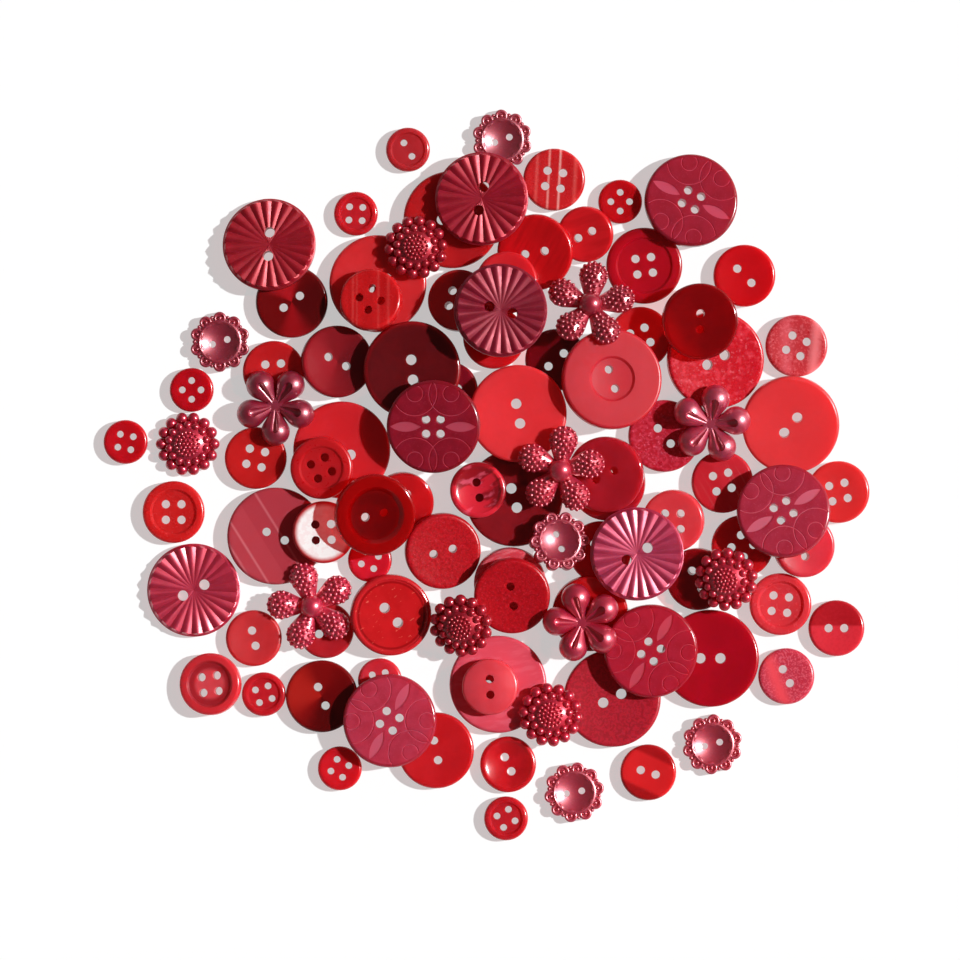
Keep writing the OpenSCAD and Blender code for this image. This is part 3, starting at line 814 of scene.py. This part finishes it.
# Drawn-out pearl clouds, deeper at the edge.
lay(
    "large_coral_button",
    plastic(
        "pearl_coral_polyester",
        "#DE485B",
        [(cloud, (1.0, 0.45, 0.65, 10, 4), "#E8697B", 0.4), (outwards, (9, 11.8), "#CF3D4F", 0.4)],
        rough=0.32,
    ),
)


# Fan-carved buttons
# Moulded with pleats that widen to a plain rim, in pearly maroon resin. The pearl lies in the
# surface, so a fold that faces the lamp turns pale, and almost silver on the two rosy ones.
PLEAT_CREASE = 50


def lay_each(kind, finishes, crease=CREASE):
    """Lays a kind of ornate button, which has a numbered node for each, in that order."""
    for number, finish in enumerate(finishes, 1):
        lay(f"{kind}_{number}", finish, crease)


def pearl(name, colour, deeper, glint, satin, strength, metal=0.5):
    """Resin full of pearl flakes: part metal to the eye, under a satin coat of some strength."""
    return plastic(
        name,
        colour,
        [(cloud, (3,), deeper, 0.4), (flakes, (0.25, 0.1), glint, 0.12)],
        rough=0.45,
        metallic=metal,
        coat_weight=1.0,
        coat_roughness=satin,
        coat_ior=strength,
        subsurface_weight=0.4,
    )


lay_each(
    "fan_button",
    [
        pearl("fan_maroon_pearl", "#A80A28", "#8E061A", "#C86070", 0.4, 1.2, 0.35),
        pearl("fan_wine_pearl", "#8A0A28", "#76061C", "#C86074", 0.4, 1.15, 0.35),
        pearl("fan_rose_pearl", "#C42755", "#B01D46", "#E090A4", 0.36, 1.8),
        pearl("fan_berry_pearl", "#C91F45", "#B41435", "#D87088", 0.36, 1.7),
        pearl("fan_crimson_pearl", "#A60A22", "#8E0516", "#D06474", 0.4, 1.2, 0.35),
    ],
    PLEAT_CREASE,
)


# Engraved buttons
# Flat pearly discs. Rings, arcs and two leaves were cut through the dark skin into the paler
# pearl under it, so the lines show pink, and in the narrow grooves this pink is also a painted
# highlight on their walls. The rounded rim keeps its skin.
def engraved(name, colour, deeper, line):
    """Pearly resin, dark on top and pale where the tool cut below the skin; the pale of the cuts is
    partly a painted highlight.
    """
    return plastic(
        name,
        colour,
        [
            (cloud, (3,), deeper, 0.5),
            (flakes, (0.25, 0.1), line, 0.15),
            (sunk, (2.97, 2.84), line, 0.8),
            (outwards, (10.7, 10.9), deeper, 1.0),
        ],
        rough=0.2,
        subsurface_weight=0.5,
    )


lay_each(
    "engraved_button",
    [
        engraved("engraved_magenta_pearl", "#9B1D31", "#8B1728", "#CC5068"),
        engraved("engraved_wine_pearl", "#8E1529", "#7C0F1F", "#C04C60"),
        engraved("engraved_plum_pearl", "#AB2C42", "#992034", "#D66A7E"),
        engraved("engraved_ruby_pearl", "#B11D33", "#9D1528", "#CC4A5C"),
        engraved("engraved_mulberry_pearl", "#B9344B", "#A22639", "#CC5A70"),
    ],
)

# Flower buttons
# Three have hobnailed petals round a smooth boss, and three have smooth puffed petals with a
# drop-shaped hollow. All are moulded in pearly resin.
lay_each(
    "beaded_flower",
    [
        pearl("beaded_crimson_pearl", "#B00F33", "#9B0827", "#E08098", 0.26, 1.95),
        pearl("beaded_cherry_pearl", "#CC163D", "#B60E2F", "#F0A0AC", 0.26, 2.1),
        pearl("beaded_rose_pearl", "#D31C46", "#BB1137", "#F0A0B0", 0.26, 2.1),
    ],
)
lay_each(
    "petal_flower",
    [
        pearl("petal_plum_pearl", "#A10F37", "#89072A", "#C06078", 0.33, 1.95),
        pearl("petal_rose_pearl", "#C31D4A", "#AC1036", "#E0A0B0", 0.36, 2.3),
        pearl("petal_wine_pearl", "#C7133F", "#B00B2E", "#D88898", 0.33, 1.95),
    ],
)

# Berry buttons
# Domes of round berries, two rows round a fine grained middle. They are moulded in one in glossy
# crimson resin, so each berry has a small bright point.
lay_each(
    "berry_button",
    [
        pearl("berry_dark_resin", "#AB0A26", "#93041C", "#C04860", 0.2, 1.55),
        pearl("berry_cherry_resin", "#B91035", "#A20826", "#E06880", 0.2, 1.75),
        pearl("berry_black_cherry_resin", "#B00C28", "#98041B", "#C04058", 0.2, 1.55),
        pearl("berry_crimson_resin", "#C70F34", "#AF0826", "#E06078", 0.2, 1.7),
        pearl("berry_red_resin", "#C91135", "#AF0927", "#E06078", 0.2, 1.75),
    ],
)

# Lace-edged buttons
# Dished discs in a border of small loops and beads. The pearl in the dish gathers the lamp's
# light to a white patch on the side that faces it.
lay_each(
    "lace_button",
    [
        pearl("lace_plum_pearl", "#B01038", "#98092B", "#E8A0B4", 0.4, 2.2),
        pearl("lace_wine_pearl", "#A90F35", "#930729", "#E8A0B4", 0.38, 1.95),
        pearl("lace_rose_pearl", "#B1133A", "#990A2C", "#E8A0B4", 0.38, 1.95),
        pearl("lace_cherry_pearl", "#CD1641", "#B50C31", "#E8A0B4", 0.4, 2.25),
        pearl("lace_ruby_pearl", "#CB143D", "#B30B30", "#E8A0B4", 0.4, 2.2),
    ],
)
